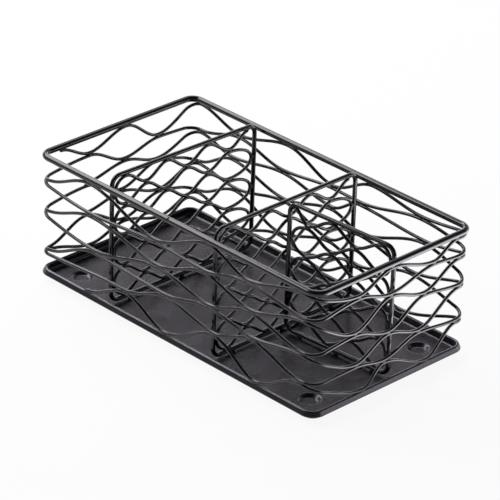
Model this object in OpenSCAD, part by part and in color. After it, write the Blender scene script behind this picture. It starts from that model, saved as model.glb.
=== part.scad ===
/* [Basket] */
// Length of the basket between the rim's centre lines
basket_length = 200; // [150:1:260]
// Width of the basket between the rim's centre lines
basket_width = 107; // [80:1:140]
// Height of the rim's centre line above the top of the tray's lip
wall_height = 64.5; // [45:0.5:90]
// Diameter of the rim wire
rim_wire_d = 3; // [2:0.1:5]
// Corner radius of the rim at its centre line
rim_corner_r = 6; // [4:0.5:15]
// Diameter of the wavy wires in the walls and in the dividers
net_wire_d = 1.6; // [1:0.1:2.2]
// Radius at which the wall wires turn the basket's corners
net_corner_r = 7; // [6:0.5:20]

/* [Tray] */
// Thickness of the tray's sheet
sheet = 0.8; // [0.5:0.1:1]
// Depth of the tray's floor below the top of its lip
tray_depth = 4.3; // [2:0.1:6]
// Width of the folded lip, whose crest lies right under the rim's centre line
lip_width = 2.6; // [2.1:0.1:4]
// Height of the lip's outer fold
lip_drop = 3.6; // [2:0.1:5]
// Corner radius of the lip at its crest
tray_corner_r = 6.2; // [5:0.1:16]

/* [Feet] */
// Diameter of each pressed foot where it leaves the floor
foot_d = 12; // [9:0.5:16]
// Diameter of the flat pad under each foot
foot_pad_d = 7; // [4:0.5:8]
// Depth of each foot below the tray's floor
foot_depth = 1.8; // [1.8:0.1:4]
// Distance of the feet from the lip's crest at the tray's ends
foot_end_inset = 16.5; // [12:0.5:40]
// Distance of the feet from the lip's crest at the tray's long sides
foot_side_inset = 15; // [12:0.5:30]

/* [Dividers] */
// Diameter of the divider frames' wire
frame_wire_d = 2.2; // [1.6:0.1:3]
// Corner radius of the divider frames at their centre line
frame_corner_r = 5; // [3:0.5:10]
// Rise of the divider frames' top bars above the rim, centre to centre
frame_rise = 4.1; // [0:0.1:10]
// Gap under the divider frames' lower bars, which their welds to the floor bridge
bar_gap = 0.75; // [0.1:0.05:0.8]
// Distance from the rim's centre line to the legs of the cross dividers
cross_leg_inset = 5; // [4:0.1:12]
// Distance from the rim's centre line to the end leg of the half divider
half_leg_inset = 5.5; // [4:0.1:14]
// Place of the left cross divider along the basket, from its middle
left_divider_x = -49.5; // [-70:0.5:-30]
// Angle of the left cross divider to the basket's width, in degrees
left_divider_turn = 1.5; // [-4:0.1:4]
// Place of the middle cross divider along the basket, from its middle
middle_divider_x = 25; // [0:0.5:50]
// Place of the half divider's inner leg across the basket, from its middle
half_divider_y = 0; // [-20:0.5:20]
// Angle of the half divider to the basket's length, in degrees
half_divider_turn = 3.8; // [-6:0.1:6]
// Rows of waves in each divider's filling
filling_rows = 8; // [4:2:10]

/* [Hidden] */

$fn = 64;
coat = [0.09, 0.09, 0.1];
coat_light = [0.14, 0.14, 0.15];
// Gap left at every weld, so that welded wires meet without overlapping
weld_gap = 0.1;
// Overrun of the cuts
over = 1;
// Longest step between the rings of a swept wall wire
ring_step = 5;
// Sides of a swept wall wire and of a swept filling wire
wall_sides = 8;
filling_sides = 6;
// Steps in one half wave and in one hairpin of a filling
half_wave_steps = 4;
hairpin_steps = 6;

net_r = net_wire_d / 2;
lip_r = lip_width / 2;
frame_r = frame_wire_d / 2;
crest_z = foot_depth + sheet + tray_depth;
floor_z = crest_z - tray_depth;
rim_z = crest_z + wall_height;
floor_inset = lip_r - sheet;
foot_x = basket_length / 2 - foot_end_inset;
foot_y = basket_width / 2 - foot_side_inset;
// Heights of a wall wire's centre where it stands on the lip and where it touches the rim
lip_seat_z = crest_z + net_r + weld_gap;
rim_seat_z = rim_z - rim_wire_d / 2 - net_r - weld_gap;
// Centre lines of the divider frames' lower and upper bars
frame_low_z = floor_z + frame_r + bar_gap;
frame_high_z = rim_z + frame_rise;
frame_height = frame_high_z - frame_low_z;
cross_width = basket_width - 2 * cross_leg_inset;
half_divider_x = middle_divider_x + frame_wire_d + weld_gap;
half_width = (basket_length / 2 - half_leg_inset - half_divider_x) / cos(half_divider_turn);

// Welds of the wall, from the rim down to the tray. Each is a place round the basket, as the
// number of the wall (0 front, 1 right, 2 back, 3 left) plus a share of that wall, and a height
// as a share of the wall's height. Wires 1 to 7 run between one seam and the next.
seam_shares = [
    [[0.19, 1], [0.63, 1], [0.96, 1], [1.475, 1], [1.9, 1],
     [2.335, 1], [2.64, 1], [2.97, 1], [3.45, 1], [3.875, 1]],
    [[0.02, 0.795], [0.435, 0.765], [0.76, 0.83], [1.265, 0.835], [1.755, 0.845],
     [2.165, 0.89], [2.475, 0.79], [2.82, 0.84], [3.235, 0.765], [3.685, 0.835]],
    [[0.2, 0.695], [0.61, 0.72], [0.965, 0.75], [1.475, 0.73], [1.925, 0.795],
     [2.38, 0.76], [2.66, 0.715], [2.965, 0.72], [3.455, 0.665]],
    [[0.015, 0.52], [0.45, 0.555], [0.775, 0.59], [1.25, 0.53], [1.7, 0.61],
     [2.15, 0.695], [2.475, 0.6], [2.845, 0.615], [3.24, 0.55], [3.705, 0.57]],
    [[0.21, 0.39], [0.63, 0.445], [0.955, 0.46], [1.47, 0.41], [1.94, 0.54],
     [2.375, 0.495], [2.65, 0.465], [2.975, 0.43], [3.475, 0.395]],
    [[0.02, 0.175], [0.475, 0.335], [0.785, 0.365], [1.265, 0.25], [1.675, 0.3],
     [2.19, 0.38], [2.48, 0.305], [2.83, 0.345], [3.225, 0.26], [3.71, 0.305]],
    [[0.33, 0.185], [0.655, 0.225], [0.95, 0.215], [1.45, 0.175], [1.925, 0.235],
     [2.375, 0.2], [2.665, 0.145], [2.975, 0.16], [3.455, 0.115], [3.95, 0.13]],
    [[0.18, 0], [0.475, 0], [0.8, 0], [1.325, 0], [1.74, 0],
     [2.225, 0], [2.51, 0], [2.82, 0], [3.21, 0], [3.665, 0]]
];
last_seam = len(seam_shares) - 1;

// Places of the peaks and valleys in a filling, as shares of its width from the leg where
// the first row turns. The last upper share is where the wire starts and ends.
cross_upper_shares = [0.085, 0.375, 0.67, 0.96];
cross_lower_shares = [0.23, 0.52, 0.83];
half_upper_shares = [0.1, 0.595, 0.96];
half_lower_shares = [0.355, 0.84];

// Distance along the basket's sides with square corners, anticlockwise from the front left corner
function side_length(side) = side % 2 == 0 ? basket_length : basket_width;
function side_start(side) = side == 0 ? 0 : side_start(side - 1) + side_length(side - 1);
perimeter = side_start(4);
function run_at(share) = side_start(floor(share)) + (share - floor(share)) * side_length(floor(share));

// Place and outward direction on the basket's wall at a distance along its sides
function turned(v, side) =
    side == 0 ? v : side == 1 ? [-v.y, v.x] : side == 2 ? [-v.x, -v.y] : [v.y, -v.x];
function wall_spot(run) =
    let (
        along = run - perimeter * floor(run / perimeter),
        side = len([for (s = [1:3]) if (along >= side_start(s)) s]),
        reach = side_length(side),
        u = along - side_start(side),
        near = min(u, reach - u),
        way = u < reach / 2 ? -1 : 1,
        bend = near < net_corner_r ? 45 * (1 - near / net_corner_r) : 0,
        a = bend > 0 ? way * (reach / 2 - net_corner_r + net_corner_r * sin(bend)) : u - reach / 2,
        b = net_corner_r * (1 - cos(bend)) - side_length(side + 1) / 2
    )
    [turned([a, b], side), turned([way * sin(bend), -cos(bend)], side)];

// Height of a wall wire's centre under the seam above it and over the seam below it
function seam_z(share) = crest_z + share * wall_height;
function under_z(seam, share) =
    seam == 0 ? rim_seat_z : seam_z(share) - net_r - weld_gap / 2;
function over_z(seam, share) =
    seam == last_seam ? lip_seat_z : seam_z(share) + net_r + weld_gap / 2;

// The welds that one wall wire passes, in order round the basket. Odd wires start at the front
// left corner and end on the left wall. Even wires are closed rings, which pass that start by.
function tail(list) = [for (i = [1:len(list) - 1]) list[i]];
function woven(first, second) =
    [for (i = [0:len(first) - 1]) each (i < len(second) ? [first[i], second[i]] : [first[i]])];
function wire_welds(wire) =
    let (
        above = [for (w = seam_shares[wire - 1]) [run_at(w[0]), under_z(wire - 1, w[1])]],
        below = [for (w = seam_shares[wire]) [run_at(w[0]), over_z(wire, w[1])]]
    )
    wire % 2 == 1 ? woven(below, above) : woven(below, tail(above));
function ring_closed(wire) = wire % 2 == 0;

// Points of a smooth half wave from one weld to the next, without its end
function half_wave(a, b, steps) =
    [for (i = [0:steps - 1])
        let (t = i / steps)
        [a[0] + (b[0] - a[0]) * t, a[1] + (b[1] - a[1]) * (1 - cos(180 * t)) / 2]];
function wire_runs(wire) =
    let (
        open = wire_welds(wire),
        welds = ring_closed(wire) ? concat(open, [[open[0][0] + perimeter, open[0][1]]]) : open,
        last = len(welds) - 1,
        waves = [for (i = [0:last - 1])
            let (steps = ceil((welds[i + 1][0] - welds[i][0]) / ring_step))
            each half_wave(welds[i], welds[i + 1], max(half_wave_steps, steps))]
    )
    ring_closed(wire) ? waves : concat(waves, [welds[last]]);

// Rings of points round a path, and a closed tube over them. A path is a list of centres,
// and across is the direction that lies square to the path at each centre.
function unit(v) = v / norm(v);
function path_rings(path, across, r, sides, closed) =
    let (n = len(path))
    [for (i = [0:n - 1])
        let (
            before = closed ? path[(i + n - 1) % n] : path[max(i - 1, 0)],
            after = closed ? path[(i + 1) % n] : path[min(i + 1, n - 1)],
            ahead = unit(after - before),
            up = unit(cross(ahead, across[i])),
            out = cross(up, ahead)
        )
        each [for (j = [0:sides - 1])
            path[i] + r * (cos(360 * (j + 0.5) / sides) * out + sin(360 * (j + 0.5) / sides) * up)]];
module tube(path, across, d, sides, closed) {
    n = len(path);
    spans = closed ? n : n - 1;
    walls = [for (i = [0:spans - 1], j = [0:sides - 1])
        let (
            a = i * sides + j,
            b = i * sides + (j + 1) % sides,
            c = (i + 1) % n * sides + j,
            d = (i + 1) % n * sides + (j + 1) % sides
        )
        each [[a, c, b], [b, c, d]]];
    last = (n - 1) * sides;
    caps = closed ? [] : [for (j = [1:sides - 2]) each [[0, j, j + 1], [last, last + j + 1, last + j]]];
    rings = path_rings(path, across, d / 2, sides, closed);
    polyhedron(points = rings, faces = concat(walls, caps), convexity = 10);
}

// One wavy wire round the basket
module wall_wire(wire) {
    runs = wire_runs(wire);
    spots = [for (p = runs) wall_spot(p[0])];
    path = [for (i = [0:len(runs) - 1]) [spots[i][0].x, spots[i][0].y, runs[i][1]]];
    across = [for (s = spots) [s[1].x, s[1].y, 0]];
    color(coat_light) tube(path, across, net_wire_d, wall_sides, ring_closed(wire));
}

// Closed loop of round wire, lying flat: four straight runs and four bent corners
module wire_loop(long, wide, corner_r, d) {
    for (side = [0:3]) {
        run = (side % 2 == 0 ? long : wide) - 2 * corner_r;
        away = (side % 2 == 0 ? wide : long) / 2;
        rotate(90 * side) translate([-run / 2, -away, 0]) rotate([0, 90, 0]) cylinder(d = d, h = run);
    }
    for (x = [-1, 1], y = [-1, 1])
        translate([x * (long / 2 - corner_r), y * (wide / 2 - corner_r), 0])
            rotate(x > 0 ? (y > 0 ? 0 : -90) : (y > 0 ? 90 : 180)) rotate_extrude(angle = 90)
                translate([corner_r, 0]) circle(d = d);
}
module rim_wire() {
    color(coat_light) translate([0, 0, rim_z])
        wire_loop(basket_length, basket_width, rim_corner_r, rim_wire_d);
}

// Flat rectangle with round corners
module round_rect(long, wide, corner_r) {
    square([long - 2 * corner_r, wide], center = true);
    square([long, wide - 2 * corner_r], center = true);
    for (x = [-1, 1], y = [-1, 1])
        translate([x * (long / 2 - corner_r), y * (wide / 2 - corner_r)]) circle(r = corner_r);
}
// Section of the folded lip, with its crest over zero and its outer fold towards +x
module lip_section() {
    bend_z = crest_z - lip_r;
    difference() {
        union() {
            translate([0, bend_z]) circle(r = lip_r);
            translate([-lip_r, floor_z - sheet]) square([lip_r, bend_z - floor_z + sheet]);
            translate([0, crest_z - lip_drop]) square([lip_r, lip_drop - lip_r]);
        }
        translate([0, bend_z]) circle(r = floor_inset);
        translate([-floor_inset, bend_z - lip_drop - over]) square([lip_width - 2 * sheet, lip_drop + over]);
    }
}
module lip_ring() {
    for (side = [0:3]) {
        run = (side % 2 == 0 ? basket_length : basket_width) - 2 * tray_corner_r;
        away = (side % 2 == 0 ? basket_width : basket_length) / 2;
        rotate(90 * side) {
            translate([run / 2, -away, 0]) rotate([90, 0, -90]) linear_extrude(run) lip_section();
            translate([run / 2, tray_corner_r - away, 0]) rotate(-90) rotate_extrude(angle = 90)
                translate([tray_corner_r, 0]) lip_section();
        }
    }
}
// A foot's outer form reaches halfway into the sheet, and its hollow is cut from above
module foot_form() {
    rotate_extrude() polygon([
        [0, 0], [foot_pad_d / 2, 0], [foot_d / 2, floor_z - sheet],
        [foot_d / 2, floor_z - sheet / 2], [0, floor_z - sheet / 2]
    ]);
}
module foot_hollow() {
    rotate_extrude() polygon([
        [0, sheet], [foot_pad_d / 2, sheet], [foot_d / 2, floor_z],
        [foot_d / 2, floor_z + over], [0, floor_z + over]
    ]);
}
module at_feet() {
    for (x = [-1, 1], y = [-1, 1]) translate([x * foot_x, y * foot_y, 0]) children();
}
module tray_floor() {
    floor_length = basket_length - 2 * floor_inset;
    floor_width = basket_width - 2 * floor_inset;
    difference() {
        union() {
            translate([0, 0, floor_z - sheet]) linear_extrude(sheet)
                round_rect(floor_length, floor_width, tray_corner_r - floor_inset);
            at_feet() foot_form();
        }
        at_feet() foot_hollow();
    }
}
module tray() {
    color(coat) {
        lip_ring();
        tray_floor();
    }
}

// Upright divider in the plane of x and z, with its turning leg at x = 0 and its other leg at +x
module divider_frame(width) {
    color(coat) translate([width / 2, 0, frame_low_z + frame_height / 2]) rotate([90, 0, 0])
        wire_loop(width, frame_height, frame_corner_r, frame_wire_d);
}
// The filling is one wire that runs to and fro between the legs. Neighbouring rows meet where
// the valleys of one touch the peaks of the next, and each row turns into the next at a leg.
filling_top_z = frame_high_z - frame_r;
row_height = (frame_height - frame_wire_d) / filling_rows;
function row_peak_z(row) = filling_top_z - row * row_height - net_r - weld_gap / 2;
function row_valley_z(row) = filling_top_z - (row + 1) * row_height + net_r + weld_gap / 2;
function filling_row(row, span, upper, lower) =
    let (
        even = row % 2 == 0,
        turns = [for (i = [0:len(lower) - 1]) each [
            [span * upper[i], even ? row_peak_z(row) : row_valley_z(row)],
            [span * lower[i], even ? row_valley_z(row) : row_peak_z(row)]
        ]],
        end = [span * upper[len(lower)], even ? row_peak_z(row) : row_valley_z(row)],
        out = row == 0 || row == filling_rows - 1 ? concat(turns, [end]) : turns,
        last = len(out) - 1
    )
    even ? [for (i = [0:last]) out[last - i]] : out;
// Half ellipse from the end of one row to the start of the next, out to the leg
function hairpin(a, b, leg) =
    [for (i = [0:hairpin_steps - 1])
        let (angle = 180 * i / hairpin_steps)
        [a[0] + (leg - a[0]) * sin(angle), (a[1] + b[1]) / 2 + (a[1] - b[1]) / 2 * cos(angle)]];
function filling_path(span, upper, lower) =
    let (
        rows = [for (row = [0:filling_rows - 1]) filling_row(row, span, upper, lower)],
        touch = net_r + weld_gap,
        legs = [touch, span - touch],
        finish = rows[filling_rows - 1]
    )
    concat(
        [for (row = [0:filling_rows - 1])
            let (line = rows[row], last = len(line) - 1, next = rows[row + 1])
            each concat(
                [for (i = [0:last - 1]) each half_wave(line[i], line[i + 1], half_wave_steps)],
                row < filling_rows - 1 ? hairpin(line[last], next[0], legs[row % 2]) : []
            )],
        [finish[len(finish) - 1]]
    );
module divider_filling(width, upper, lower) {
    flat = filling_path(width - frame_wire_d, upper, lower);
    path = [for (p = flat) [p[0] + frame_r, 0, p[1]]];
    across = [for (p = flat) [0, -1, 0]];
    color(coat_light) tube(path, across, net_wire_d, filling_sides, false);
}

module at_left() {
    translate([left_divider_x, 0, 0]) rotate(90 - left_divider_turn)
        translate([-cross_width / 2, 0, 0]) children();
}
module at_middle() {
    translate([middle_divider_x, -cross_width / 2, 0]) rotate(90) children();
}
module at_half() {
    translate([half_divider_x, half_divider_y, 0]) rotate(half_divider_turn)
        translate([half_width, 0, 0]) rotate(180) children();
}
module cross_filling() {
    divider_filling(cross_width, cross_upper_shares, cross_lower_shares);
}
module left_divider_frame() {
    at_left() divider_frame(cross_width);
}
module left_divider_filling() {
    at_left() cross_filling();
}
module middle_divider_frame() {
    at_middle() divider_frame(cross_width);
}
module middle_divider_filling() {
    at_middle() cross_filling();
}
module half_divider_frame() {
    at_half() divider_frame(half_width);
}
module half_divider_filling() {
    at_half() divider_filling(half_width, half_upper_shares, half_lower_shares);
}

tray();
rim_wire();
wall_wire(1);  // wall_wire_1
wall_wire(2);  // wall_wire_2
wall_wire(3);  // wall_wire_3
wall_wire(4);  // wall_wire_4
wall_wire(5);  // wall_wire_5
wall_wire(6);  // wall_wire_6
wall_wire(7);  // wall_wire_7
left_divider_frame();
left_divider_filling();
middle_divider_frame();
middle_divider_filling();
half_divider_frame();
half_divider_filling();
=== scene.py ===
"""Sugar packet holder: black coated wire basket on a sheet tray, with three wire dividers.

Every wire is a round profile carried along a path, and the tray is a height function on a grid whose
border is carried over the folded lip. All lengths are in metres, in the frame of the part.
"""

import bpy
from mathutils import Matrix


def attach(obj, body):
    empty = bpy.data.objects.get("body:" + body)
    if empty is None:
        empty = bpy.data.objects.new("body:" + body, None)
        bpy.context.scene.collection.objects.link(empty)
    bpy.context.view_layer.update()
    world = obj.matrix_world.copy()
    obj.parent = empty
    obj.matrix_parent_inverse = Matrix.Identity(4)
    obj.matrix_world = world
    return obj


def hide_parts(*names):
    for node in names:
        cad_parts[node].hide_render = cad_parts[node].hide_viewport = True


bl_info = {
    "name": "Sugar Packet Holder",
    "version": (1, 0, 0),
    "blender": (4, 5, 0),
    "location": "View3D > Sidebar > Holder",
    "description": "Builds a wire sugar packet holder piece by piece",
    "category": "Add Mesh",
}

import math

import bpy
import numpy as np
from bpy.props import FloatProperty, FloatVectorProperty, IntProperty, PointerProperty
from bpy.types import Operator, Panel, PropertyGroup
from mathutils import Matrix, Vector

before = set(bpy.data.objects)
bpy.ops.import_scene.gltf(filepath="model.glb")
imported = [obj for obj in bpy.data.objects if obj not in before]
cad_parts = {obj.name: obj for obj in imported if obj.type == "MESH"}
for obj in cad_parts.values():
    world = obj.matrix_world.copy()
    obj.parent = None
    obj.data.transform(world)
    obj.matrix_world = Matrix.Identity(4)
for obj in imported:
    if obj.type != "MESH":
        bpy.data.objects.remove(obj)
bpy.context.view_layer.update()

BODY = "root"
WIRE_SLOT = "coated_wire"
SHEET_SLOT = "coated_sheet"

# Welds of the wall, from the rim down to the tray. Each is the number of the wall (0 front, 1 right,
# 2 back, 3 left) plus a share along it, and a share of the wall's height.
SEAM_SHARES = [
    [(0.19, 1), (0.63, 1), (0.96, 1), (1.475, 1), (1.9, 1),
     (2.335, 1), (2.64, 1), (2.97, 1), (3.45, 1), (3.875, 1)],
    [(0.02, 0.795), (0.435, 0.765), (0.76, 0.83), (1.265, 0.835), (1.755, 0.845),
     (2.165, 0.89), (2.475, 0.79), (2.82, 0.84), (3.235, 0.765), (3.685, 0.835)],
    [(0.2, 0.695), (0.61, 0.72), (0.965, 0.75), (1.475, 0.73), (1.925, 0.795),
     (2.38, 0.76), (2.66, 0.715), (2.965, 0.72), (3.455, 0.665)],
    [(0.015, 0.52), (0.45, 0.555), (0.775, 0.59), (1.25, 0.53), (1.7, 0.61),
     (2.15, 0.695), (2.475, 0.6), (2.845, 0.615), (3.24, 0.55), (3.705, 0.57)],
    [(0.21, 0.39), (0.63, 0.445), (0.955, 0.46), (1.47, 0.41), (1.94, 0.54),
     (2.375, 0.495), (2.65, 0.465), (2.975, 0.43), (3.475, 0.395)],
    [(0.02, 0.175), (0.475, 0.335), (0.785, 0.365), (1.265, 0.25), (1.675, 0.3),
     (2.19, 0.38), (2.48, 0.305), (2.83, 0.345), (3.225, 0.26), (3.71, 0.305)],
    [(0.33, 0.185), (0.655, 0.225), (0.95, 0.215), (1.45, 0.175), (1.925, 0.235),
     (2.375, 0.2), (2.665, 0.145), (2.975, 0.16), (3.455, 0.115), (3.95, 0.13)],
    [(0.18, 0), (0.475, 0), (0.8, 0), (1.325, 0), (1.74, 0),
     (2.225, 0), (2.51, 0), (2.82, 0), (3.21, 0), (3.665, 0)],
]
WALL_WIRES = len(SEAM_SHARES) - 1
# Peaks and valleys of the divider fillings, as shares of the width from the leg where row one turns
CROSS_UPPER_SHARES = (0.085, 0.375, 0.67, 0.96)
CROSS_LOWER_SHARES = (0.23, 0.52, 0.83)
HALF_UPPER_SHARES = (0.1, 0.595, 0.96)
HALF_LOWER_SHARES = (0.355, 0.84)
# Welds of each divider's lower bar to the tray, as shares of its width
BAR_WELD_SHARES = (0.14, 0.5, 0.86)
# Half height and half depth of a weld, and its sink into a lower bar, as shares of the wire's radius
WELD_HEIGHT = 0.9
WELD_DEPTH = 1.02
BAR_WELD_SINK = 0.4
# Chamfer of a cut end, and width and depth of the groove at the rim's joint, as shares of the wire's radius
END_CHAMFER = 0.3
JOINT_WIDTH = 0.25
JOINT_DEPTH = 0.1
# Widths of the groove that get close rings on each side of the joint, and the number of these rings
JOINT_REACH = 4
JOINT_RINGS = 33

# Fineness of the wires: sides of their profiles, and lengths or numbers of the steps along them
RIM_SIDES = 20
FRAME_SIDES = 16
NET_SIDES = 12
STRAIGHT_STEP = 0.002
ARC_STEPS = 24
WAVE_STEP = 0.001
FEWEST_WAVE_STEPS = 8
FILLING_STEPS = 18
HAIRPIN_STEPS = 24
BEAD_RINGS = 7
BEAD_SIDES = 8
# Fineness of the tray: grid lines in a corner, from there to a foot, over the foot and on to the middle,
# the reach of a foot's close lines in radii, the digits in which two lines of the grid differ, and the
# share of a corner from which a line is on the border
CORNER_LINES = 11
BORDER_LINES = 6
FOOT_LINES = 37
MIDDLE_LINES = 14
FOOT_REACH = 1.1
LINE_DIGITS = 6
BORDER_SHARE = 0.999
# Points along the lip's section: each fillet, the bend of the crest, the lower edge, and shares of the face
FILLET_POINTS = 9
BEND_POINTS = 17
EDGE_POINTS = 9
FACE_SHARES = np.linspace(0.04, 0.96, 7)

# Noises of the coat: features in a metre, and detail
CLOUD_NOISE = (60.0, 4.0)
GLOSS_NOISE = (90.0, 1.0)
PEEL_NOISE = (700.0, 1.0)
# Where the colour starts and ends its change, the values that a noise mostly has, and the change of roughness
CLOUD_STOPS = (0.35, 0.75)
NOISE_RANGE = (0.3, 0.7)
ROUGHNESS_SPREAD = (-0.02, 0.03)
PEEL_STRENGTH = 0.6

# The room's light changes in height and in depth: a direction, and where along it the change starts and ends
HEIGHT_STEP = ((0, 0, 1), 0.15, 0.66)
DEPTH_STEP = ((-0.71, 0.71, 0), -0.1, 0.6)
# Half the side of the floor, and the share of plain white in what the camera sees of it
FLOOR_REACH = 6.0
FLOOR_GLOW = 0.92
# Point that the lamps turn to, and the camera's sensor in mm and nearest distance in m
MIDDLE = Vector((0.0, 0.0, 0.03))
SENSOR_WIDTH = 36.0
CLIP_START = 0.05


def length(name, default, description):
    """A length property in metres."""
    return FloatProperty(name=name, description=description, default=default, unit="LENGTH", precision=5)


def degrees(name, default, description):
    """An angle property, with its default in degrees."""
    return FloatProperty(name=name, description=description, default=math.radians(default), subtype="ANGLE")


def factor(name, default, description, low=0.0, high=1.0):
    """A property between two limits."""
    return FloatProperty(name=name, description=description, default=default, min=low, max=high,
                         subtype="FACTOR")


def power(name, default, description):
    """A power property in watts."""
    return FloatProperty(name=name, description=description, default=default, unit="POWER")


def colour(name, default, description):
    """A colour property."""
    return FloatVectorProperty(name=name, description=description, default=default, size=3, subtype="COLOR")


def point(name, default, description):
    """A property for a point, in metres."""
    return FloatVectorProperty(name=name, description=description, default=default, size=3,
                               subtype="TRANSLATION")


class HolderSizes(PropertyGroup):
    """Sizes of the basket, the tray and the dividers."""

    basket_length: length("Basket length", 0.2, "Length between the rim's centre lines")
    basket_width: length("Basket width", 0.107, "Width between the rim's centre lines")
    wall_height: length("Wall height", 0.0645, "Rim's centre line above the lip's crest")
    rim_wire: length("Rim wire", 0.003, "Diameter of the rim wire")
    rim_corner: length("Rim corner", 0.006, "Corner radius of the rim's centre line")
    rim_joint_x: length("Rim joint", -0.003, "Place of the rim's butt joint along its front side")
    net_wire: length("Net wire", 0.0016, "Diameter of the wavy wires")
    net_corner: length("Net corner", 0.007, "Radius at which the wall wires turn the corners")
    sheet: length("Sheet", 0.0008, "Thickness of the tray's sheet")
    tray_depth: length("Tray depth", 0.0043, "Floor of the tray below the lip's crest")
    tray_corner: length("Tray corner", 0.0062, "Corner radius of the lip's crest")
    lip_width: length("Lip width", 0.0026, "Width of the folded lip")
    lip_drop: length("Lip drop", 0.003, "Height of the lip's outer fold")
    lip_bend: length("Lip bend", 0.0009, "Outer radius of the fold along the lip's crest")
    floor_fillet: length("Floor fillet", 0.0015, "Radius between the tray's floor and its lip")
    foot_size: length("Foot", 0.012, "Diameter of each pressed foot")
    foot_pad: length("Foot pad", 0.007, "Diameter of the flat pad under each foot")
    foot_depth: length("Foot depth", 0.0018, "Depth of each foot below the floor")
    foot_end_inset: length("Foot end inset", 0.0165, "Feet from the crest at the tray's ends")
    foot_side_inset: length("Foot side inset", 0.015, "Feet from the crest at the tray's sides")
    frame_wire: length("Frame wire", 0.0022, "Diameter of the divider frames' wire")
    frame_corner: length("Frame corner", 0.005, "Corner radius of the divider frames")
    frame_rise: length("Frame rise", 0.0041, "Top bars of the dividers above the rim")
    bar_gap: length("Bar gap", 0.00075, "Lower bars of the dividers above the floor")
    cross_leg_inset: length("Cross leg inset", 0.005, "Legs of the cross dividers inside the rim")
    half_leg_inset: length("Half leg inset", 0.0055, "End leg of the half divider inside the rim")
    left_x: length("Left divider", -0.0495, "Place of the left cross divider along the basket")
    left_turn: degrees("Left turn", 1.5, "Angle of the left divider to the width")
    middle_x: length("Middle divider", 0.025, "Place of the middle cross divider along the basket")
    half_y: length("Half divider", 0.0, "Place of the half divider's inner leg across the basket")
    half_turn: degrees("Half turn", 3.8, "Angle of the half divider to the length")
    filling_rows: IntProperty(name="Filling rows", description="Rows of waves in each divider",
                              default=8, min=4, max=10)
    coat: length("Coat", 0.0001, "Thickness of the coat on the net and the dividers")
    rim_coat: length("Rim coat", 0.0002, "Thickness of the coat on the rim")
    weld_gap: length("Weld gap", 0.0001, "Gap between the wires that a weld bridges")
    weld_reach: length("Weld reach", 0.0017, "Half the length of a weld along its wire")


class HolderFinish(PropertyGroup):
    """Colour and gloss of the black coat."""

    coat_dark: colour("Coat", (0.002, 0.002, 0.0022), "Colour of the coat")
    coat_light: colour("Coat, thin", (0.006, 0.006, 0.0065), "Colour where the coat is thin")
    wire_roughness: factor("Wire roughness", 0.15, "Roughness of the coat on the wires", 0.05, 0.9)
    sheet_roughness: factor("Sheet roughness", 0.26, "Roughness of the coat on the tray", 0.05, 0.9)
    wire_shine: factor("Wire shine", 0.5, "Specular level of the coat on the wires")
    sheet_shine: factor("Sheet shine", 0.8, "Specular level of the coat on the tray")
    wire_cast: colour("Wire cast", (0.99, 0.94, 1.0), "Cast of the gloss on the wires")
    sheet_cast: colour("Sheet cast", (0.93, 0.88, 1.0), "Cast of the gloss on the tray")
    peel_depth: length("Orange peel", 0.0000004, "Depth of the coat's orange peel")


class HolderStage(PropertyGroup):
    """Floor, light and camera."""

    floor_colour: colour("Floor", (0.93, 0.93, 0.93), "Colour of the floor")
    room_colour: colour("Room", (0.95, 0.9, 1.0), "Colour of the light from the room")
    ceiling: factor("Ceiling", 0.2, "Strength of the light from straight above")
    front_room: factor("Front room", 0.2, "Strength of the light from the front")
    left_lamp: power("Left lamp", 12.5, "Power of the large soft lamp at the left")
    right_panel: power("Right panel", 1.2, "Power of the low panel at the right")
    back_panel: power("Back panel", 4.0, "Power of the low panel behind")
    near_panel: power("Near panel", 1.2, "Power of the high panel close by at the back left")
    right_card: power("Right card", 10.0, "Power of the card that lies at the right and shines up")
    camera_place: point("Camera", (1.0353, -1.0323, 0.8089), "Place of the camera")
    camera_aim: point("Aim", (-0.0094, 0.0094, 0.0308), "Point that the camera looks at")
    camera_roll: degrees("Roll", 1.976, "Roll of the camera")
    lens: FloatProperty(name="Lens", description="Focal length in mm", default=235.4, unit="CAMERA")


class Heights:
    """Heights, lengths and radii that follow from the sizes."""

    def __init__(self, s):
        self.net_r = s.net_wire / 2
        self.lip_r = s.lip_width / 2
        self.lip_inset = self.lip_r + s.floor_fillet
        self.frame_r = s.frame_wire / 2
        self.coated_net_r = self.net_r + s.coat
        self.coated_frame_r = self.frame_r + s.coat
        self.coated_rim_r = s.rim_wire / 2 + s.rim_coat
        self.floor = s.foot_depth + s.sheet
        self.crest = self.floor + s.tray_depth
        self.rim = self.crest + s.wall_height
        self.lip_seat = self.crest + self.net_r + s.weld_gap
        self.rim_seat = self.rim - s.rim_wire / 2 - self.net_r - s.weld_gap
        self.frame_low = self.floor + self.frame_r + s.bar_gap
        self.frame_high = self.rim + s.frame_rise - s.coat
        self.cross_width = s.basket_width - 2 * s.cross_leg_inset
        self.half_x = s.middle_x + s.frame_wire + s.weld_gap
        run = s.basket_length / 2 - s.half_leg_inset - self.half_x
        self.half_width = run / math.cos(s.half_turn)
        self.row = (self.frame_high - self.frame_low - s.frame_wire) / s.filling_rows


# Meshes


def grid_faces(rows, columns, wrap=False):
    """Quads of a grid of rows x columns points, numbered row by row. With wrap, rows close on themselves."""
    i = np.arange(rows - 1)[:, None] * columns
    j = np.arange(columns if wrap else columns - 1)[None, :]
    k = (j + 1) % columns
    return np.stack([i + j, i + k, i + columns + k, i + columns + j], -1).reshape(-1, 4)


def outward(points, quads):
    """The quads turned so that the closed surface they make has a positive volume."""
    a, b, c, d = (points[quads[:, n]] for n in range(4))
    volume = np.einsum("ij,ij->i", a, np.cross(b, c)) + np.einsum("ij,ij->i", a, np.cross(c, d))
    return quads if volume.sum() > 0 else quads[:, ::-1]


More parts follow.
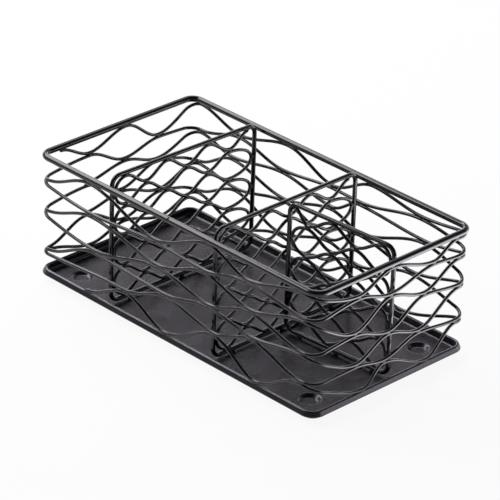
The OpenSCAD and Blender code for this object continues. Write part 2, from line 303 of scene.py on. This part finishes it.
def add_piece(name, points, faces, material, slot, *nodes):
    """A smooth mesh object at the origin, riding on the part and standing for the given CAD nodes."""
    mesh = bpy.data.meshes.new(name)
    mesh.from_pydata(points.tolist(), [], faces)
    if mesh.validate():
        raise RuntimeError("bad faces in " + name)
    mesh.shade_smooth()
    mesh.materials.append(material)
    piece = bpy.data.objects.new(name, mesh)
    bpy.context.scene.collection.objects.link(piece)
    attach(piece, BODY)
    if nodes:
        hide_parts(*nodes)
    return piece


def tube(path, across, radius, sides, closed):
    """Points and faces of a round wire: at each centre of the path a circle of the given radius, in the plane
    of the direction across and of its cross product with the path's direction. Open ends get a small
    chamfer and a flat face."""
    path, across = np.asarray(path, float), np.asarray(across, float)
    radius = np.broadcast_to(np.asarray(radius, float), len(path)).copy()
    if closed:
        ahead = np.roll(path, -1, 0) - np.roll(path, 1, 0)
    else:
        chamfer, end_share = END_CHAMFER * radius[0], 1 - END_CHAMFER
        start = (path[1] - path[0]) / np.linalg.norm(path[1] - path[0])
        end = (path[-1] - path[-2]) / np.linalg.norm(path[-1] - path[-2])
        path = np.vstack([path[:1], path[:1] + chamfer * start, path[1:-1],
                          path[-1:] - chamfer * end, path[-1:]])
        across = np.vstack([across[:1], across[:1], across[1:-1], across[-1:], across[-1:]])
        radius = np.concatenate([[end_share * radius[0]], radius, [end_share * radius[-1]]])
        ahead = np.gradient(path, axis=0)
    ahead /= np.linalg.norm(ahead, axis=1)[:, None]
    up = np.cross(ahead, across)
    up /= np.linalg.norm(up, axis=1)[:, None]
    out = np.cross(up, ahead)
    angle = 2 * np.pi * np.arange(sides) / sides
    rings = path[:, None] + radius[:, None, None] * (
        np.cos(angle)[None, :, None] * out[:, None] + np.sin(angle)[None, :, None] * up[:, None])
    points = rings.reshape(-1, 3)
    quads = grid_faces(len(path), sides, wrap=True)
    if closed:
        last = (len(path) - 1) * sides + np.arange(sides)
        first = np.arange(sides)
        quads = np.vstack([quads, np.stack([last, np.roll(last, -1), np.roll(first, -1), first], -1)])
        return points, outward(points, quads).tolist()
    turned = outward(points, quads)
    flip = turned is not quads
    low = list(range(sides))
    high = [(len(path) - 1) * sides + n for n in range(sides)]
    caps = [low, high[::-1]] if flip else [low[::-1], high]
    return points, turned.tolist() + caps


# Paths


def round_loop(long, wide, corner, extra=()):
    """Points and outward directions of a rectangle with round corners, anticlockwise from the middle of its
    lower side: straight runs in even steps, and quarter circles. Extra places are added to the lower side."""
    half_long, half_wide = long / 2 - corner, wide / 2 - corner
    points, normals = [], []
    for side in range(4):
        run, away = (half_long, wide / 2) if side % 2 == 0 else (half_wide, long / 2)
        along = np.linspace(-run, run, max(2, int(2 * run / STRAIGHT_STEP)) + 1)
        if side == 0 and len(extra):
            along = np.unique(np.concatenate([along, np.asarray(extra)]))
        angle = np.linspace(0, np.pi / 2, ARC_STEPS + 1)[1:-1]
        x = np.concatenate([along, run + corner * np.sin(angle)])
        y = np.concatenate([np.full(len(along), -away), corner - away - corner * np.cos(angle)])
        nx = np.concatenate([np.zeros(len(along)), np.sin(angle)])
        ny = np.concatenate([np.full(len(along), -1.0), -np.cos(angle)])
        c, s = round(math.cos(side * math.pi / 2)), round(math.sin(side * math.pi / 2))
        points.append(np.stack([c * x - s * y, s * x + c * y], -1))
        normals.append(np.stack([c * nx - s * ny, s * nx + c * ny], -1))
    return np.vstack(points), np.vstack(normals)


def half_wave(a, b, steps):
    """Points from a to b without b: an even run, and a height that follows half a cosine."""
    t = np.arange(steps) / steps
    return np.stack([a[0] + (b[0] - a[0]) * t, a[1] + (b[1] - a[1]) * (1 - np.cos(np.pi * t)) / 2], -1)


class Wall:
    """The basket's wall: places along the lip's crest, with square corners, and the welds on it."""

    def __init__(self, s):
        self.sizes, self.h = s, Heights(s)
        self.sides = np.array([s.basket_length, s.basket_width] * 2)
        self.starts = np.concatenate([[0], np.cumsum(self.sides)])
        self.perimeter = self.starts[-1]

    def run(self, share):
        """Distance along the sides of a wall number plus a share of that wall."""
        wall = int(share)
        return self.starts[wall] + (share - wall) * self.sides[wall]

    def spot(self, run):
        """Places and outward directions at distances along the sides. Within the corner radius of a corner,
        the distance left to the corner gives the angle on its quarter circle."""
        r = self.sizes.net_corner
        run = np.asarray(run) % self.perimeter
        side = np.searchsorted(self.starts, run, side="right") - 1
        reach, other = self.sides[side], self.sides[(side + 1) % 4]
        u = run - self.starts[side]
        near, way = np.minimum(u, reach - u), np.where(u < reach / 2, -1, 1)
        bend = np.where(near < r, np.pi / 4 * (1 - near / r), 0)
        a = np.where(near < r, way * (reach / 2 - r + r * np.sin(bend)), u - reach / 2)
        b = r * (1 - np.cos(bend)) - other / 2
        nx, ny = way * np.sin(bend), -np.cos(bend)
        c, s = np.cos(side * np.pi / 2).round(), np.sin(side * np.pi / 2).round()
        return np.stack([c * a - s * b, s * a + c * b], -1), np.stack([c * nx - s * ny, s * nx + c * ny], -1)

    def seam_z(self, share):
        """Height of a weld between two wall wires."""
        return self.h.crest + share * self.sizes.wall_height

    def welds(self, wire):
        """Distance and height of the centres of one wire at its welds, in order. Odd wires are open and start
        at the front left corner, even ones are closed and pass that start by."""
        apart = self.h.net_r + self.sizes.weld_gap / 2
        above = [(self.run(p), self.h.rim_seat if wire == 1 else self.seam_z(z) - apart)
                 for p, z in SEAM_SHARES[wire - 1]]
        below = [(self.run(p), self.h.lip_seat if wire == WALL_WIRES else self.seam_z(z) + apart)
                 for p, z in SEAM_SHARES[wire]]
        above = above if wire % 2 else above[1:]
        order = [w for n in range(len(below)) for w in (below[n:n + 1] + above[n:n + 1])]
        return order if wire % 2 else order + [(order[0][0] + self.perimeter, order[0][1])]

    def path(self, wire):
        """Centre line and outward directions of one wall wire."""
        welds = self.welds(wire)
        waves = [half_wave(a, b, max(FEWEST_WAVE_STEPS, int((b[0] - a[0]) / WAVE_STEP)))
                 for a, b in zip(welds[:-1], welds[1:])]
        if wire % 2:
            waves.append(np.array(welds[-1:]))
        flat = np.vstack(waves)
        place, out = self.spot(flat[:, 0])
        return np.column_stack([place, flat[:, 1]]), np.column_stack([out, np.zeros(len(out))])


class Divider:
    """An upright divider: its turning leg at u = 0, its other leg at u = width, and its place in the
    basket."""

    def __init__(self, s, name, origin, angle, width, upper, lower):
        self.sizes, self.h, self.name = s, Heights(s), name
        self.origin, self.angle, self.width = origin, angle, width
        self.upper, self.lower = upper, lower

    def place(self, flat):
        """Points in the basket of points (u, z) of the divider."""
        u, z = flat[:, 0], flat[:, 1]
        x = self.origin[0] + u * math.cos(self.angle)
        y = self.origin[1] + u * math.sin(self.angle)
        return np.stack([x, y, z], -1)

    def across(self, count):
        """The direction square to the divider, once for each of count points."""
        return np.tile([math.sin(self.angle), -math.cos(self.angle), 0.0], (count, 1))

    def frame_path(self):
        """Centre line of the frame: a rectangle with round corners, standing up."""
        height = self.h.frame_high - self.h.frame_low
        loop, _ = round_loop(self.width, height, self.sizes.frame_corner)
        return self.place(loop + np.array([self.width / 2, self.h.frame_low + height / 2]))

    def rows(self):
        """Turning points (u, z) of each row. Rows run to and fro, with peaks and valleys on shared seams."""
        count, span = self.sizes.filling_rows, self.width - self.sizes.frame_wire
        top = self.h.frame_high - self.h.frame_r
        apart = self.h.net_r + self.sizes.weld_gap / 2
        rows = []
        for row in range(count):
            peak, valley = top - row * self.h.row - apart, top - (row + 1) * self.h.row + apart
            upper_z, lower_z = (peak, valley) if row % 2 == 0 else (valley, peak)
            turns = []
            for a, b in zip(self.upper, self.lower):
                turns += [(span * a, upper_z), (span * b, lower_z)]
            if row in (0, count - 1):
                turns.append((span * self.upper[-1], upper_z))
            rows.append(turns[::-1] if row % 2 == 0 else turns)
        return rows

    def hairpin(self, a, b, leg):
        """Half an ellipse from a to b, out to the leg, without b."""
        angle = np.pi * np.arange(HAIRPIN_STEPS) / HAIRPIN_STEPS
        middle, half = (a[1] + b[1]) / 2, (a[1] - b[1]) / 2
        return np.stack([a[0] + (leg - a[0]) * np.sin(angle), middle + half * np.cos(angle)], -1)

    def filling_path(self):
        """Centre line of the filling: half waves along each row, and hairpins from row to row at the legs."""
        rows, touch = self.rows(), self.h.net_r + self.sizes.weld_gap
        legs = (touch, self.width - self.sizes.frame_wire - touch)
        lines = []
        for n, row in enumerate(rows):
            lines += [half_wave(a, b, FILLING_STEPS) for a, b in zip(row[:-1], row[1:])]
            if n + 1 < len(rows):
                lines.append(self.hairpin(row[-1], rows[n + 1][0], legs[n % 2]))
        lines.append(np.array(rows[-1][-1:]))
        return self.place(np.vstack(lines) + np.array([self.h.frame_r, 0]))


def all_dividers(s):
    """The left and middle cross dividers and the half divider."""
    h = Heights(s)
    left = math.pi / 2 - s.left_turn
    left_start = (s.left_x - h.cross_width / 2 * math.cos(left), -h.cross_width / 2 * math.sin(left))
    half_end = (h.half_x + h.half_width * math.cos(s.half_turn),
                s.half_y + h.half_width * math.sin(s.half_turn))
    return (
        Divider(s, "left_divider", left_start, left, h.cross_width, CROSS_UPPER_SHARES, CROSS_LOWER_SHARES),
        Divider(s, "middle_divider", (s.middle_x, -h.cross_width / 2), math.pi / 2, h.cross_width,
                CROSS_UPPER_SHARES, CROSS_LOWER_SHARES),
        Divider(s, "half_divider", half_end, s.half_turn + math.pi, h.half_width,
                HALF_UPPER_SHARES, HALF_LOWER_SHARES),
    )


# Tray


def tray_lines(half, corner, foot, foot_r):
    """Grid lines along one direction: close together in the corners and over the feet, wide between them."""
    inner, far, near = half - corner, foot + FOOT_REACH * foot_r, foot - FOOT_REACH * foot_r
    side = np.concatenate([np.linspace(half, inner, CORNER_LINES), np.linspace(inner, near, BORDER_LINES),
                           np.linspace(far, near, FOOT_LINES), np.linspace(near, 0, MIDDLE_LINES)])
    side = np.unique(side.round(LINE_DIGITS))
    return np.concatenate([-side[::-1], side[1:]])


def lip_section(s, h):
    """Points of the lip's section, each a distance out from the floor's border and a height: a fillet, the
    inner wall, the tight bend of the crest, the leaning outer face, its round lower edge, and back inside.
    The face touches the bend and the edge, two circles d apart: its normal n has n . d = the first radius
    less the second."""
    f, r, edge_r = s.floor_fillet, s.lip_bend, s.sheet / 2
    bend = np.array([f + r, h.crest - r])
    edge_centre = np.array([h.lip_inset + h.lip_r - edge_r, h.crest - s.lip_drop + edge_r])
    apart = edge_centre - bend
    lean = math.atan2(apart[1], apart[0]) + math.acos((r - edge_r) / math.hypot(*apart))
    normal = np.array([math.cos(lean), math.sin(lean)])
    quarter, share = np.linspace(0, np.pi / 2, FILLET_POINTS), FACE_SHARES[:, None]
    bend_turn = np.linspace(np.pi, lean, BEND_POINTS)
    edge_turn = np.linspace(lean, lean - np.pi, EDGE_POINTS)
    inside_z = (normal @ bend + r - s.sheet - normal[0] * (f + s.sheet)) / normal[1]
    return np.vstack([
        np.stack([f * np.sin(quarter[1:]), h.floor + f * (1 - np.cos(quarter[1:]))], -1),
        bend + r * np.stack([np.cos(bend_turn), np.sin(bend_turn)], -1),
        bend + r * normal + share * (apart + (edge_r - r) * normal),
        edge_centre + edge_r * np.stack([np.cos(edge_turn), np.sin(edge_turn)], -1),
        [[f + s.sheet, inside_z]],
        np.stack([(f + s.sheet) * np.cos(quarter[:-1]),
                  h.floor + f - (f + s.sheet) * np.sin(quarter[:-1])], -1),
    ])


def tray_surface(s):
    """Points and faces of the tray. The floor is a grid whose corner blocks are mapped onto quarter discs by
    x' = x sqrt(1 - y^2 / 2), and alike for y. Its height drops by a smooth step into each foot. The same
    grid one sheet lower is the underside. Between their borders runs the section of the lip."""
    h = Heights(s)
    half_x, half_y = s.basket_length / 2 - h.lip_inset, s.basket_width / 2 - h.lip_inset
    corner = s.tray_corner - h.lip_inset
    foot_x, foot_y = s.basket_length / 2 - s.foot_end_inset, s.basket_width / 2 - s.foot_side_inset
    foot_r, pad_r = s.foot_size / 2, s.foot_pad / 2
    x, y = np.meshgrid(tray_lines(half_x, corner, foot_x, foot_r), tray_lines(half_y, corner, foot_y, foot_r))
    p = np.clip((np.abs(x) - half_x + corner) / corner, 0, 1)
    q = np.clip((np.abs(y) - half_y + corner) / corner, 0, 1)
    block = (p > 0) & (q > 0)
    far_x, far_y = p > BORDER_SHARE, q > BORDER_SHARE
    px, qy = p * np.sqrt(1 - q ** 2 / 2), q * np.sqrt(1 - p ** 2 / 2)
    gx = np.where(block, np.sign(x) * (half_x - corner + corner * px), x)
    gy = np.where(block, np.sign(y) * (half_y - corner + corner * qy), y)
    t = np.clip((np.hypot(np.abs(gx) - foot_x, np.abs(gy) - foot_y) - pad_r) / (foot_r - pad_r), 0, 1)
    drop = s.foot_depth * (1 - t * t * (3 - 2 * t))
    rows, columns = x.shape
    top = np.stack([gx, gy, h.floor - drop], -1).reshape(-1, 3)
    under = top - np.array([0, 0, s.sheet])

    index = np.arange(rows * columns).reshape(rows, columns)
    border = np.concatenate([index[0, :-1], index[:-1, -1], index[-1, :0:-1], index[:0:-1, 0]])
    nx = np.where(block, np.sign(x) * px, np.sign(x) * far_x).ravel()[border]
    ny = np.where(block, np.sign(y) * qy, np.sign(y) * far_y).ravel()[border]
    size = np.hypot(nx, ny)
    out = np.stack([nx / size, ny / size], -1)

    section = lip_section(s, h)
    edge = top[border, :2]
    rings = np.concatenate([edge[None] + section[:, 0][:, None, None] * out[None],
                            np.broadcast_to(section[:, 1][:, None, None], (len(section), len(edge), 1))], -1)
    points = np.vstack([top, under, rings.reshape(-1, 3)])

    count = rows * columns
    loops = np.vstack([border, 2 * count + np.arange(rings.shape[0] * len(edge)).reshape(len(section), -1),
                       border + count])
    a, b = loops[:-1], loops[1:]
    strips = np.stack([a, b, np.roll(b, -1, 1), np.roll(a, -1, 1)], -1).reshape(-1, 4)
    floor = grid_faces(rows, columns)
    faces = np.vstack([floor, floor[:, ::-1] + count, strips])
    return points, outward(points, faces).tolist()


# Welds


def weld_beads(centres, along, up, reach, height, depth):
    """Points and faces of small ellipsoids, one at each centre, with their poles along the wires. Half
    lengths are reach along the wire, height towards the wire that it joins, and depth through the wall."""
    rings, sides = BEAD_RINGS, BEAD_SIDES
    lat = np.linspace(-np.pi / 2, np.pi / 2, rings)[:, None]
    lon = 2 * np.pi * np.arange(sides)[None, :] / sides
    unit = np.stack([np.sin(lat) + 0 * lon, np.cos(lat) * np.cos(lon), np.cos(lat) * np.sin(lon)], -1)
    unit = np.concatenate([unit[0, :1], unit[1:-1].reshape(-1, 3), unit[-1, :1]])
    side = np.cross(along, up)
    points = (centres[:, None] + unit[None, :, :1] * reach * along[:, None]
              + unit[None, :, 1:2] * height[:, None, None] * up[:, None]
              + unit[None, :, 2:] * depth * side[:, None])
    n = np.arange(sides)
    m = (n + 1) % sides
    body = grid_faces(rings - 2, sides, wrap=True) + 1
    last = (rings - 2) * sides + 1
    ends = np.vstack([np.stack([np.zeros(sides, int), m + 1, n + 1], -1),
                      np.stack([np.full(sides, last), last - sides + n, last - sides + m], -1)])
    offset = np.arange(len(centres)) * (last + 1)
    quads = (body[None] + offset[:, None, None]).reshape(-1, 4)
    triangles = (ends[None] + offset[:, None, None]).reshape(-1, 3)
    return points.reshape(-1, 3), quads.tolist() + triangles.tolist()


def wall_welds(s):
    """Centres, wire directions, joining directions and half heights of the welds in the wall."""
    wall, h = Wall(s), Heights(s)
    apart = h.net_r + s.weld_gap / 2
    centres, along, up, height = [], [], [], []
    for seam, welds in enumerate(SEAM_SHARES):
        place, out = wall.spot(np.array([wall.run(p) for p, _ in welds]))
        if seam == 0:
            z = np.full(len(place), h.rim_seat)
        else:
            z = np.array([h.lip_seat if seam == WALL_WIRES else wall.seam_z(share) for _, share in welds])
        towards = np.tile([0.0, 0.0, -1.0 if seam == WALL_WIRES else 1.0], (len(place), 1))
        shift = apart if seam in (0, WALL_WIRES) else 0
        centres.append(np.column_stack([place, z]) + shift * towards)
        along.append(np.column_stack([-out[:, 1], out[:, 0], np.zeros(len(out))]))
        up.append(towards)
        height.append(np.full(len(place), WELD_HEIGHT * h.net_r))
    return [np.concatenate(v) for v in (centres, along, up, height)]


def divider_welds(divider):
    """Centres, wire directions, joining directions and half heights of the welds in one divider."""
    s, h = divider.sizes, divider.h
    span, top = divider.width - s.frame_wire, h.frame_high - h.frame_r
    flat, upright = [], []
    for seam in range(s.filling_rows + 1):
        for share in divider.upper if seam % 2 == 0 else divider.lower:
            inner = 0 < seam < s.filling_rows
            if not (inner and share == divider.upper[-1]):
                flat.append((h.frame_r + span * share, top - seam * h.row))
    for turn in range(s.filling_rows - 1):
        upright.append((h.frame_r if turn % 2 == 0 else divider.width - h.frame_r, top - (turn + 1) * h.row))
    bar = [(divider.width * share, h.floor + s.bar_gap / 2) for share in BAR_WELD_SHARES]
    forward = np.array([math.cos(divider.angle), math.sin(divider.angle), 0.0])
    upward = np.array([0.0, 0.0, 1.0])
    count, legs, low = len(flat), len(upright), len(bar)
    wire_height, bar_height = WELD_HEIGHT * h.net_r, s.bar_gap / 2 + BAR_WELD_SINK * h.frame_r
    return (divider.place(np.array(flat + upright + bar)),
            np.vstack([np.tile(forward, (count, 1)), np.tile(upward, (legs, 1)), np.tile(forward, (low, 1))]),
            np.vstack([np.tile(upward, (count, 1)), np.tile(forward, (legs, 1)), np.tile(upward, (low, 1))]),
            np.concatenate([np.full(count + legs, wire_height), np.full(low, bar_height)]))


# Finishes


def coat_material(name, finish, roughness, shine, cast):
    """Black powder coat: fine orange peel in the bump, slow changes of roughness, and thin places a little
    lighter."""
    material = bpy.data.materials.new(name)
    material.use_nodes = True
    tree = material.node_tree
    nodes, links = tree.nodes, tree.links
    nodes.clear()
    output = nodes.new("ShaderNodeOutputMaterial")
    shader = nodes.new("ShaderNodeBsdfPrincipled")
    shader.inputs["Specular IOR Level"].default_value = shine
    shader.inputs["Specular Tint"].default_value = (*cast, 1)
    links.new(shader.outputs["BSDF"], output.inputs["Surface"])
    place = nodes.new("ShaderNodeTexCoord")

    def noise(scale, detail):
        node = nodes.new("ShaderNodeTexNoise")
        node.inputs["Scale"].default_value = scale
        node.inputs["Detail"].default_value = detail
        links.new(place.outputs["Object"], node.inputs["Vector"])
        return node.outputs["Fac"]

    def spread(value, low, high):
        node = nodes.new("ShaderNodeMapRange")
        node.inputs["From Min"].default_value = NOISE_RANGE[0]
        node.inputs["From Max"].default_value = NOISE_RANGE[1]
        node.inputs["To Min"].default_value = low
        node.inputs["To Max"].default_value = high
        links.new(value, node.inputs["Value"])
        return node.outputs["Result"]

    ramp = nodes.new("ShaderNodeValToRGB")
    first, second = ramp.color_ramp.elements
    first.position, second.position = CLOUD_STOPS
    first.color = (*finish.coat_dark, 1)
    second.color = (*finish.coat_light, 1)
    links.new(noise(*CLOUD_NOISE), ramp.inputs["Fac"])
    links.new(ramp.outputs["Color"], shader.inputs["Base Color"])
    low, high = (roughness + change for change in ROUGHNESS_SPREAD)
    links.new(spread(noise(*GLOSS_NOISE), low, high), shader.inputs["Roughness"])
    bump = nodes.new("ShaderNodeBump")
    bump.inputs["Strength"].default_value = PEEL_STRENGTH
    bump.inputs["Distance"].default_value = finish.peel_depth
    links.new(noise(*PEEL_NOISE), bump.inputs["Height"])
    links.new(bump.outputs["Normal"], shader.inputs["Normal"])
    return material


def coat(kind):
    """The coat of the wires or of the sheet, made once."""
    name = "black_coat_on_" + kind
    finish = bpy.context.scene.holder_finish
    made = bpy.data.materials.get(name)
    if made:
        return made
    if kind == "wire":
        return coat_material(name, finish, finish.wire_roughness, finish.wire_shine, finish.wire_cast)
    return coat_material(name, finish, finish.sheet_roughness, finish.sheet_shine, finish.sheet_cast)


# Operators


class HOLDER_OT_tray(Operator):
    """Presses the tray with its folded lip and its four feet"""

    bl_idname = "holder.tray"
    bl_label = "Tray"

    def execute(self, context):
        points, faces = tray_surface(context.scene.holder_sizes)
        add_piece("pressed_tray", points, faces, coat("sheet"), SHEET_SLOT, "tray")
        return {"FINISHED"}


class HOLDER_OT_rim(Operator):
    """Bends the rim wire, with a shallow groove at its butt joint"""

    bl_idname = "holder.rim"
    bl_label = "Rim wire"

    def execute(self, context):
        s = context.scene.holder_sizes
        h = Heights(s)
        groove = JOINT_WIDTH * h.coated_rim_r
        near = s.rim_joint_x + groove * np.linspace(-JOINT_REACH, JOINT_REACH, JOINT_RINGS)
        long, wide = s.basket_length - 2 * s.rim_coat, s.basket_width - 2 * s.rim_coat
        flat, out = round_loop(long, wide, s.rim_corner, near)
        path = np.column_stack([flat, np.full(len(flat), h.rim)])
        front = np.isclose(out[:, 1], -1)
        cut = front * np.exp(-((flat[:, 0] - s.rim_joint_x) / groove) ** 2)
        radius = h.coated_rim_r * (1 - JOINT_DEPTH * cut)
        points, faces = tube(path, np.column_stack([out, np.zeros(len(out))]), radius, RIM_SIDES, True)
        add_piece("round_rim", points, faces, coat("wire"), WIRE_SLOT, "rim_wire")
        return {"FINISHED"}


class HOLDER_OT_wall_wires(Operator):
    """Bends the wavy wall wires round the basket"""

    bl_idname = "holder.wall_wires"
    bl_label = "Wall wires"

    def execute(self, context):
        s = context.scene.holder_sizes
        wall, radius = Wall(s), Heights(s).coated_net_r
        for wire in range(1, WALL_WIRES + 1):
            path, out = wall.path(wire)
            points, faces = tube(path, out, radius, NET_SIDES, wire % 2 == 0)
            add_piece("wavy_wire_%d" % wire, points, faces, coat("wire"), WIRE_SLOT, "wall_wire_%d" % wire)
        return {"FINISHED"}


class HOLDER_OT_divider_frames(Operator):
    """Bends the three divider frames"""

    bl_idname = "holder.divider_frames"
    bl_label = "Divider frames"

    def execute(self, context):
        for divider in all_dividers(context.scene.holder_sizes):
            path, radius = divider.frame_path(), divider.h.coated_frame_r
            points, faces = tube(path, divider.across(len(path)), radius, FRAME_SIDES, True)
            add_piece(divider.name + "_hoop", points, faces, coat("wire"), WIRE_SLOT,
                      divider.name + "_frame")
        return {"FINISHED"}


class HOLDER_OT_divider_fillings(Operator):
    """Bends the wire that runs to and fro in each divider"""

    bl_idname = "holder.divider_fillings"
    bl_label = "Divider fillings"

    def execute(self, context):
        for divider in all_dividers(context.scene.holder_sizes):
            path, radius = divider.filling_path(), divider.h.coated_net_r
            points, faces = tube(path, divider.across(len(path)), radius, NET_SIDES, False)
            add_piece(divider.name + "_waves", points, faces, coat("wire"), WIRE_SLOT,
                      divider.name + "_filling")
        return {"FINISHED"}


class HOLDER_OT_welds(Operator):
    """Sets a small weld wherever wires meet each other or the tray"""

    bl_idname = "holder.welds"
    bl_label = "Welds"

    def execute(self, context):
        s = context.scene.holder_sizes
        groups = [wall_welds(s)] + [divider_welds(d) for d in all_dividers(s)]
        centres, along, up, height = (np.concatenate([g[n] for g in groups]) for n in range(4))
        depth = WELD_DEPTH * Heights(s).coated_net_r
        points, faces = weld_beads(centres, along, up, s.weld_reach, height, depth)
        add_piece("weld_beads", points, faces, coat("wire"), WIRE_SLOT)
        return {"FINISHED"}


def around(bearing, height, distance):
    """The point at a bearing and a height in degrees, and at a distance, from the middle of the holder."""
    turn, rise = math.radians(bearing), math.radians(height)
    way = Vector((math.cos(rise) * math.cos(turn), math.cos(rise) * math.sin(turn), math.sin(rise)))
    return MIDDLE + distance * way


def soft_lamp(name, place, aim, size, watts):
    """A flat lamp of a width and a height, turned to a point and hidden from the camera."""
    light = bpy.data.lights.new(name, "AREA")
    light.shape = "RECTANGLE"
    light.size, light.size_y = size
    light.energy = watts
    made = bpy.data.objects.new(name, light)
    made.location = place
    made.rotation_euler = (place - aim).to_track_quat("Z", "Y").to_euler()
    made.visible_camera = False
    bpy.context.scene.collection.objects.link(made)


CARD_PLACE = Vector((0.45, 0.38, 0.004))
# Place, aim, and width and height of each lamp
LAMPS = {
    "left_lamp": (around(190, 44, 1.1), MIDDLE, (1.4, 0.42)),
    "right_panel": (around(42, 5, 1.2), MIDDLE, (1.2, 0.25)),
    "back_panel": (around(140, 8, 1.2), MIDDLE, (1.4, 0.35)),
    "near_panel": (Vector((-0.34, 0.46, 0.74)), MIDDLE, (0.5, 0.26)),
    "right_card": (CARD_PLACE, CARD_PLACE + Vector((0, 0, 1)), (0.66, 0.76)),
}


def studio_world(look):
    """Light from all round: white at the horizon behind the holder, falling by smooth steps to a dim ceiling
    and to a dim room in front. The strength is the product of a step in height and a step in depth."""
    world = bpy.data.worlds.new("studio")
    world.use_nodes = True
    nodes, links = world.node_tree.nodes, world.node_tree.links
    place = nodes.new("ShaderNodeTexCoord")

    def step(along, start, end, low, high):
        reach = nodes.new("ShaderNodeVectorMath")
        reach.operation = "DOT_PRODUCT"
        reach.inputs[1].default_value = along
        links.new(place.outputs["Generated"], reach.inputs[0])
        node = nodes.new("ShaderNodeMapRange")
        node.interpolation_type = "SMOOTHSTEP"
        for name, value in (("From Min", start), ("From Max", end), ("To Min", low), ("To Max", high)):
            node.inputs[name].default_value = value
        links.new(reach.outputs["Value"], node.inputs["Value"])
        return node.outputs["Result"]

    product = nodes.new("ShaderNodeMath")
    product.operation = "MULTIPLY"
    links.new(step(*HEIGHT_STEP, 1.0, look.ceiling), product.inputs[0])
    links.new(step(*DEPTH_STEP, look.front_room, 1.0), product.inputs[1])
    links.new(product.outputs["Value"], nodes["Background"].inputs["Strength"])
    nodes["Background"].inputs["Color"].default_value = (*look.room_colour, 1)
    return world


def seen_directly(nodes, links):
    """One for camera, glossy and transmission rays, nought for the rest."""
    path = nodes.new("ShaderNodeLightPath")
    value = path.outputs["Is Camera Ray"]
    for name in ("Is Glossy Ray", "Is Transmission Ray"):
        node = nodes.new("ShaderNodeMath")
        node.operation = "MAXIMUM"
        links.new(value, node.inputs[0])
        links.new(path.outputs[name], node.inputs[1])
        value = node.outputs["Value"]
    return value


def floor_material(look):
    """Pale floor that keeps a soft shadow: mostly white to the camera, and plain diffuse to other light."""
    material = bpy.data.materials.new("pale_floor")
    material.use_nodes = True
    nodes, links = material.node_tree.nodes, material.node_tree.links
    nodes.clear()
    output = nodes.new("ShaderNodeOutputMaterial")
    diffuse = nodes.new("ShaderNodeBsdfDiffuse")
    diffuse.inputs["Color"].default_value = (*look.floor_colour, 1)
    glow = nodes.new("ShaderNodeEmission")
    glow.inputs["Color"].default_value = (1, 1, 1, 1)
    share = nodes.new("ShaderNodeMath")
    share.operation = "MULTIPLY"
    share.inputs[1].default_value = FLOOR_GLOW
    links.new(seen_directly(nodes, links), share.inputs[0])
    mix = nodes.new("ShaderNodeMixShader")
    links.new(share.outputs["Value"], mix.inputs["Fac"])
    links.new(diffuse.outputs["BSDF"], mix.inputs[1])
    links.new(glow.outputs["Emission"], mix.inputs[2])
    links.new(mix.outputs["Shader"], output.inputs["Surface"])
    return material


class HOLDER_OT_stage(Operator):
    """Sets the floor, the light and the camera"""

    bl_idname = "holder.stage"
    bl_label = "Stage"

    def execute(self, context):
        scene, look = context.scene, context.scene.holder_stage
        mesh = bpy.data.meshes.new("floor")
        r = FLOOR_REACH
        mesh.from_pydata([(-r, -r, 0), (r, -r, 0), (r, r, 0), (-r, r, 0)], [], [(0, 1, 2, 3)])
        mesh.materials.append(floor_material(look))
        floor = bpy.data.objects.new("floor", mesh)
        scene.collection.objects.link(floor)

        scene.world = studio_world(look)
        for name, (place, aim, size) in LAMPS.items():
            soft_lamp(name, place, aim, size, getattr(look, name))

        data = bpy.data.cameras.new("camera")
        data.sensor_width = SENSOR_WIDTH
        data.lens = look.lens
        data.clip_start = CLIP_START
        camera = bpy.data.objects.new("camera", data)
        place = Vector(look.camera_place)
        turn = (Vector(look.camera_aim) - place).to_track_quat("-Z", "Y").to_matrix().to_4x4()
        camera.matrix_world = Matrix.Translation(place) @ turn @ Matrix.Rotation(look.camera_roll, 4, "Z")
        scene.collection.objects.link(camera)
        scene.camera = camera
        scene.view_settings.view_transform = "Standard"
        return {"FINISHED"}


class HOLDER_PT_build(Panel):
    """Lists the pieces of the holder"""

    bl_idname = "HOLDER_PT_build"
    bl_label = "Sugar packet holder"
    bl_space_type = "VIEW_3D"
    bl_region_type = "UI"
    bl_category = "Holder"

    def draw(self, context):
        for kind in PIECES:
            self.layout.operator(kind.bl_idname)
        for group in (context.scene.holder_sizes, context.scene.holder_finish, context.scene.holder_stage):
            box = self.layout.box()
            for name in group.bl_rna.properties.keys():
                if name not in ("rna_type", "name"):
                    box.prop(group, name)


PIECES = (HOLDER_OT_stage, HOLDER_OT_tray, HOLDER_OT_rim, HOLDER_OT_wall_wires, HOLDER_OT_divider_frames,
          HOLDER_OT_divider_fillings, HOLDER_OT_welds)
GROUPS = {"holder_sizes": HolderSizes, "holder_finish": HolderFinish, "holder_stage": HolderStage}
CLASSES = tuple(GROUPS.values()) + PIECES + (HOLDER_PT_build,)


def register():
    """Registers the classes and hangs the property groups on the scene."""
    for kind in CLASSES:
        bpy.utils.register_class(kind)
    for name, kind in GROUPS.items():
        setattr(bpy.types.Scene, name, PointerProperty(type=kind))


def unregister():
    """Undoes register."""
    for name in GROUPS:
        delattr(bpy.types.Scene, name)
    for kind in reversed(CLASSES):
        bpy.utils.unregister_class(kind)


def main():
    """Builds the stage and every piece."""
    register()
    for kind in PIECES:
        group, name = kind.bl_idname.split(".")
        getattr(getattr(bpy.ops, group), name)()


if __name__ == "__main__":
    main()
